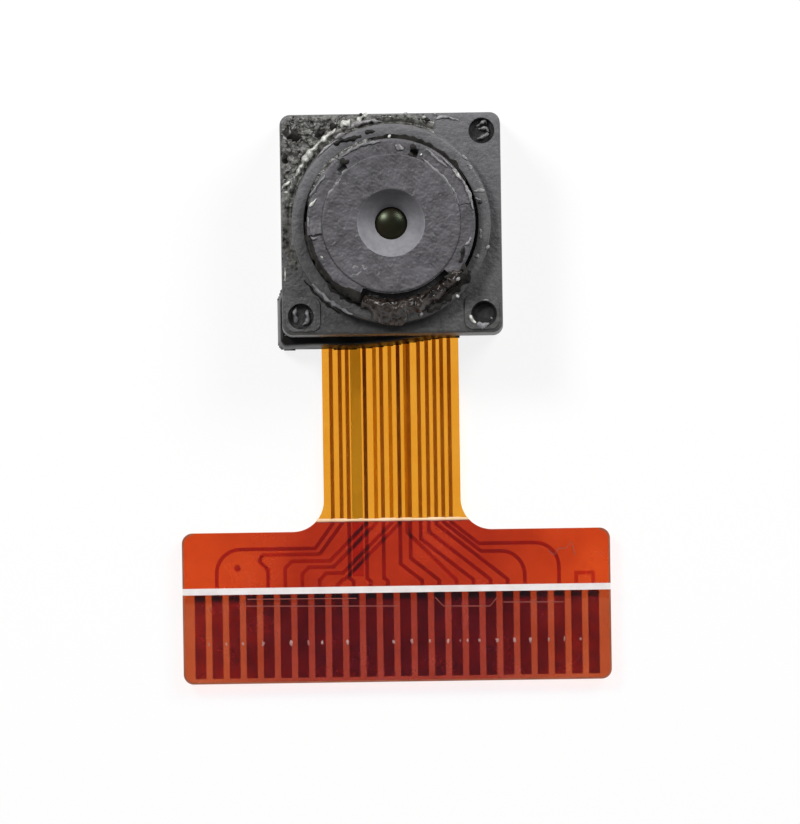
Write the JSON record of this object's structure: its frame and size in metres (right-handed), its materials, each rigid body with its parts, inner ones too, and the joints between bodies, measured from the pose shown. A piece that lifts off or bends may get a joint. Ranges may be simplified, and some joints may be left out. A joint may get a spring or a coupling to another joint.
{
  "type": "camera module",
  "caption": "Fixed-focus camera module: square lens head on a flat amber flexible circuit that flares into a stiffened contact tail with a white index line.",
  "frame": {"origin": "where the optical axis meets the back face of the head's stiffener plate", "axes": "+Z along the optical axis, out of the lens; -Y along the flexible circuit to the contact tail; +X to the right seen from the lens side with the tail down"},
  "size_m": [0.0126, 0.0165, 0.0042],
  "materials": {
    "holder_plastic": "fine spark-eroded moulding",
    "barrel_plastic": "fine grainy moulding, matt against reflections",
    "optical_plastic": "polished, coated",
    "blackened_foil": "matt black",
    "filter_glass": "polished, coated",
    "cover_glass": "polished",
    "silicon": "polished",
    "dam_resin": "cured resin",
    "solder": "bright tin",
    "copper": "rolled copper under film",
    "gold_contacts": "gold plated",
    "amber_film": "translucent amber film",
    "stiffener_film": "translucent red-brown film",
    "bond_sheet": "clear amber bonding sheet",
    "white_ink": "printed",
    "stiffener_steel": "rolled, light lengthwise grain",
    "ceramic_body": "fired",
    "black_resin": "glossy cured adhesive"
  },
  "bodies": {
    "root": {"head_stiffener": "stiffener_steel", "head_adhesive": "bond_sheet", "back_coverlay": "amber_film", "back_traces": "copper", "contact_fingers": "gold_contacts", "flex_base_film": "amber_film", "signal_traces": "copper", "ground_strip": "copper", "solder_pads": "copper", "front_coverlay": "amber_film", "tail_adhesive": "bond_sheet", "tail_stiffener": "stiffener_film", "index_line": "white_ink", "solder_balls": "solder", "sensor_die": "silicon", "sensor_dam": "dam_resin", "sensor_cover_glass": "cover_glass", "capacitor_bodies": "ceramic_body", "capacitor_terminals": "solder", "holder_bond": "black_resin", "lens_holder": "holder_plastic", "infrared_filter": "filter_glass", "lens_barrel": "barrel_plastic", "front_lens": "optical_plastic", "aperture_stop": "blackened_foil", "middle_lens": "optical_plastic", "spacer_ring": "blackened_foil", "rear_lens": "optical_plastic", "retainer_ring": "blackened_foil", "collar_glue": "black_resin", "rim_glue": "black_resin", "base_glue": "black_resin"}
  },
  "joints": []
}
